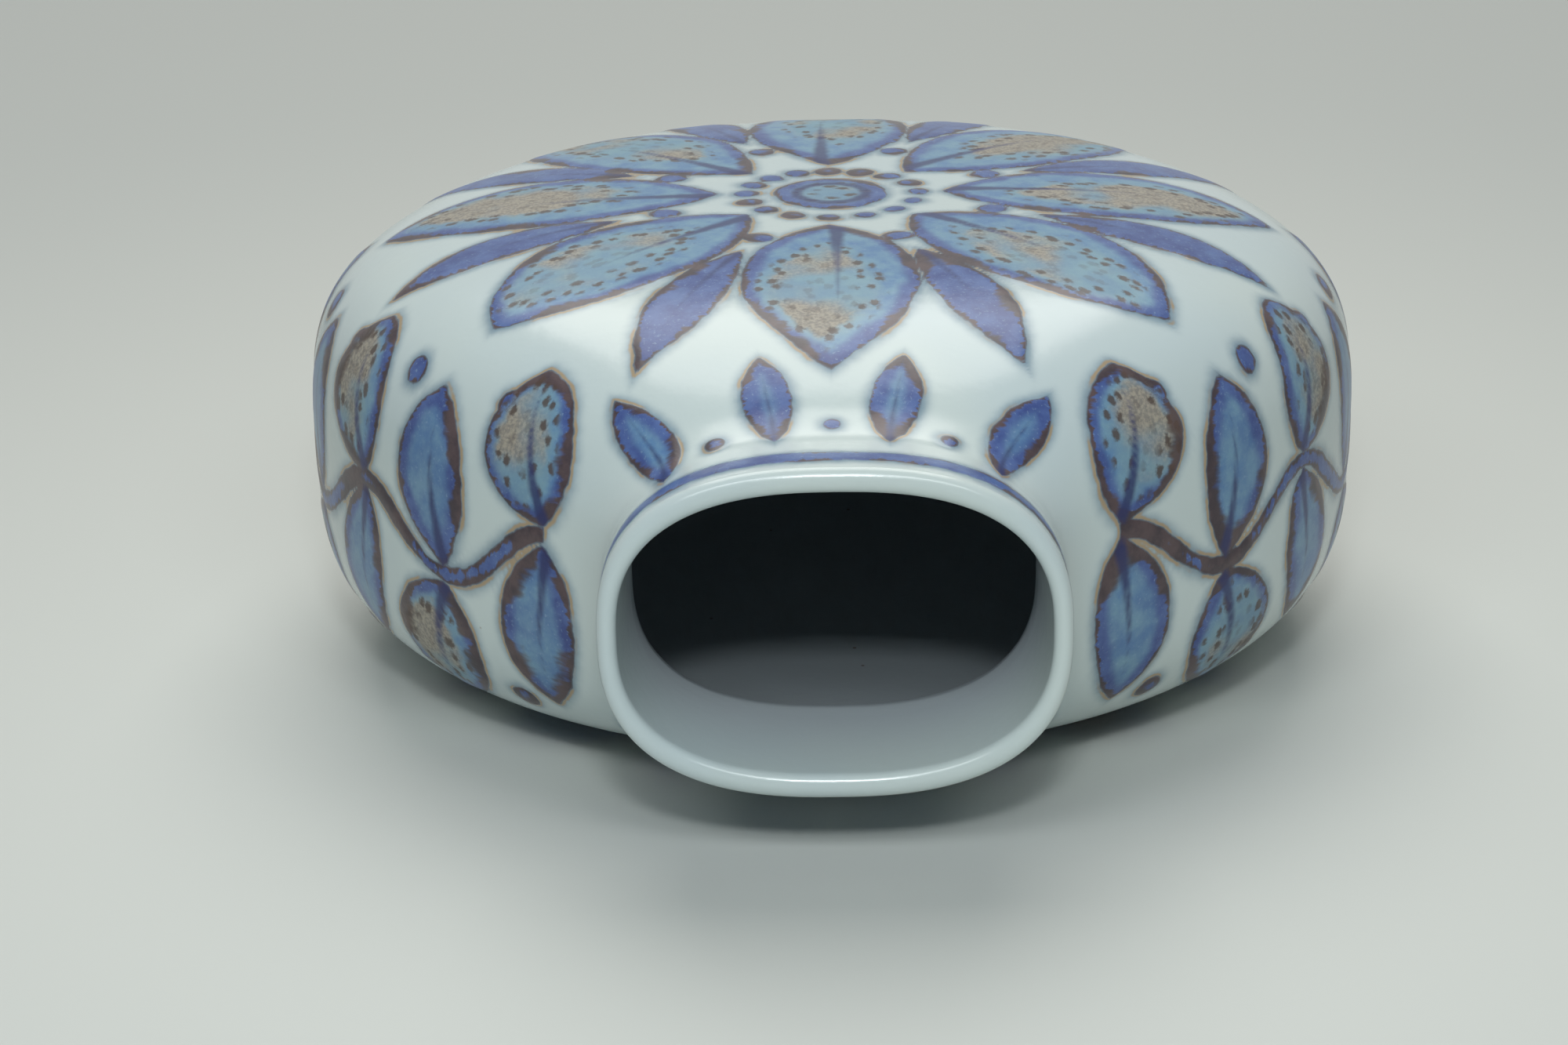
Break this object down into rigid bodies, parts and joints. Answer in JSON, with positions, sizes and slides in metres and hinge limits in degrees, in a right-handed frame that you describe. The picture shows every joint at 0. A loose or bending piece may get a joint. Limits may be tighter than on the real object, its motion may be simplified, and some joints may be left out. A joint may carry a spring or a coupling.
{
  "type": "flower vase",
  "caption": "Pillow-shaped faience flower vase: a flattened oval body with crowned faces, a short oval neck with a rounded lip, and a low oval foot ring. Hollow and glazed inside and out.",
  "frame": {"origin": "centre of the bounding box at its bottom, where the vase rests on the middle of its back face", "axes": "the vase lies on its back: +X across its width, +Y from the mouth to the foot, +Z out of its front face"},
  "size_m": [0.19, 0.188, 0.085],
  "materials": {
    "painted_glaze": "gloss",
    "bare_clay": "matt"
  },
  "bodies": {
    "root": {"front_shell": "painted_glaze", "back_shell": "painted_glaze", "neck_collar": "painted_glaze", "foot_ring": "bare_clay"}
  },
  "joints": []
}
